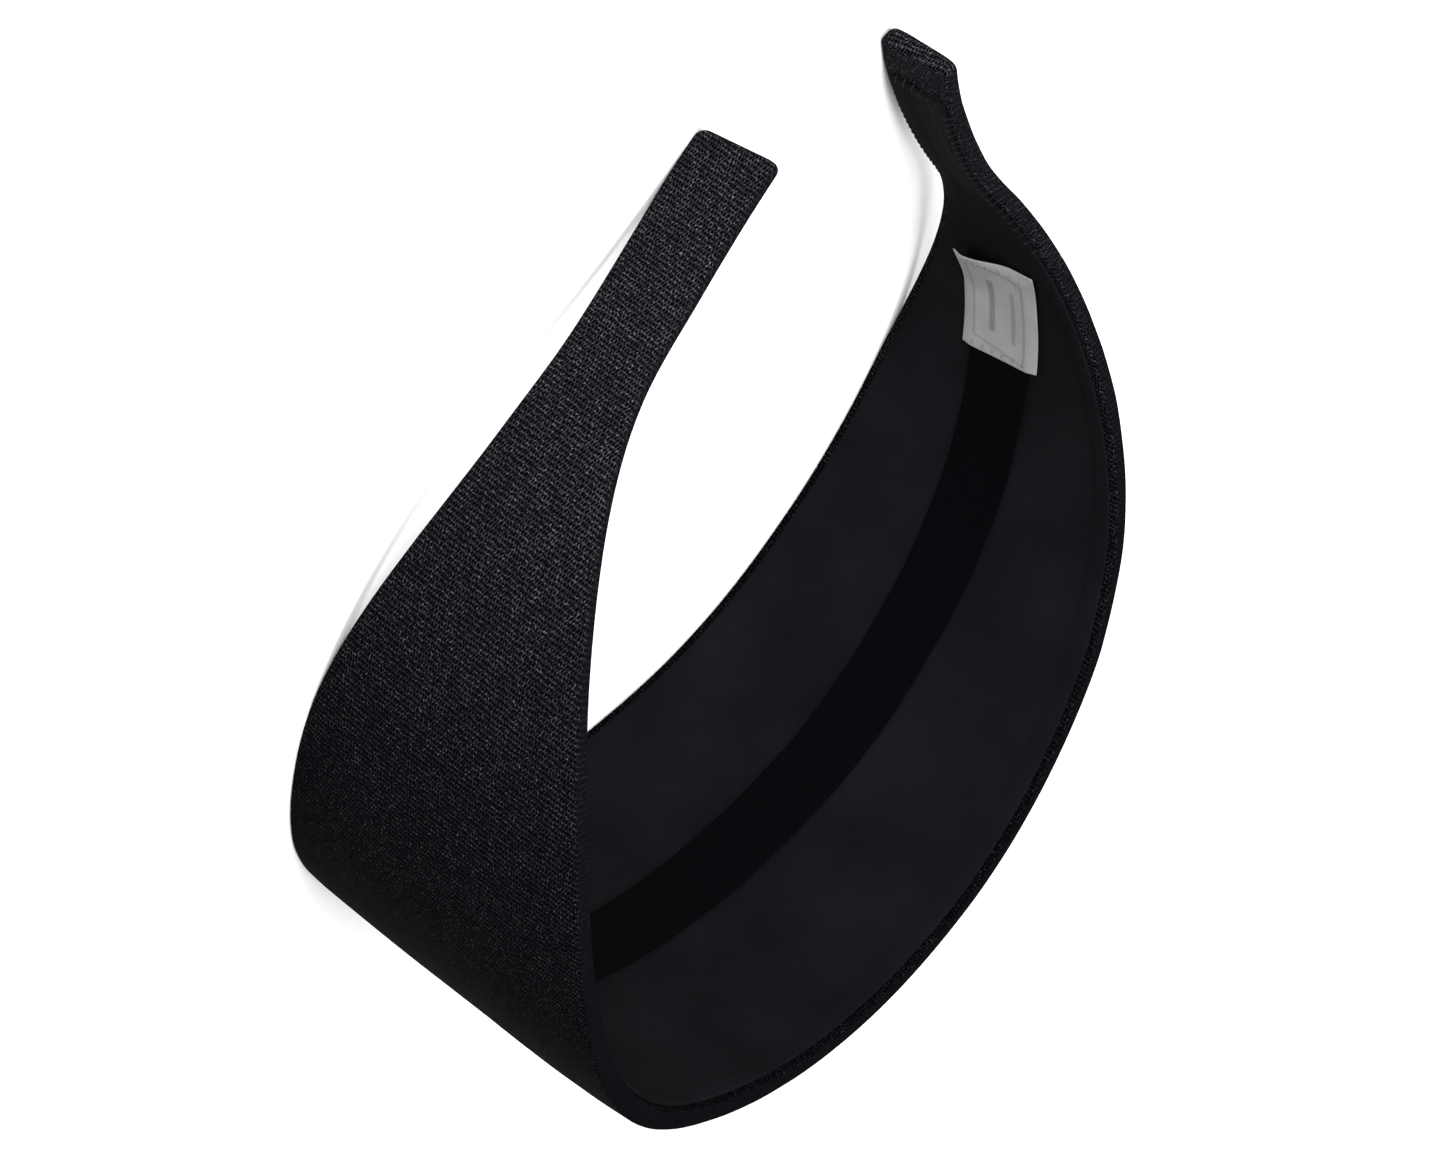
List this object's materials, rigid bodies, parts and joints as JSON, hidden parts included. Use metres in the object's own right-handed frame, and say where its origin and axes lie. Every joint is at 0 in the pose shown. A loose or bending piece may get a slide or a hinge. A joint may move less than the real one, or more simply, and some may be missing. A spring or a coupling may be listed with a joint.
{
  "type": "headband",
  "caption": "Wide cloth-covered hard headband: a springy arch that tapers from a broad crown to narrow square tips, with a lining, a velvet grip ribbon and a blank label inside.",
  "frame": {"origin": "middle of the band's box in plan, on the plane of the back edge that it lies on", "axes": "+X from the left arm to the right arm, +Y from the tips to the crown, +Z across the band from the back edge to the front edge"},
  "size_m": [0.134, 0.1291, 0.0582],
  "materials": {
    "cover_cloth": "ribbed woven cloth with a faint glint",
    "foam": "soft open-cell padding",
    "core_plastic": "satin flexible plastic",
    "lining_cloth": "smooth matte cloth",
    "velvet_ribbon": "short-pile velvet",
    "satin_label": "pale satin tape",
    "black_thread": "twisted sewing thread",
    "pale_thread": "twisted sewing thread"
  },
  "bodies": {
    "left_half": {"cover_left": "cover_cloth", "foam_left": "foam", "core_left": "core_plastic", "lining_left": "lining_cloth", "ribbon_left": "velvet_ribbon", "edge_stitches_left": "black_thread", "fold_stitches_left": "black_thread", "label": "satin_label", "label_stitches": "pale_thread"},
    "right_half": {"cover_right": "cover_cloth", "foam_right": "foam", "core_right": "core_plastic", "lining_right": "lining_cloth", "ribbon_right": "velvet_ribbon", "edge_stitches_right": "black_thread", "fold_stitches_right": "black_thread", "ribbon_tacks": "black_thread"}
  },
  "joints": [
    {"name": "spread", "type": "hinge", "parent": "left_half", "child": "right_half", "pos_m": [0, 0.06465, 0], "axis": [0, 0, 1], "range_deg": [0, 35], "stiffness_Nm_per_rad": 0.6}
  ]
}
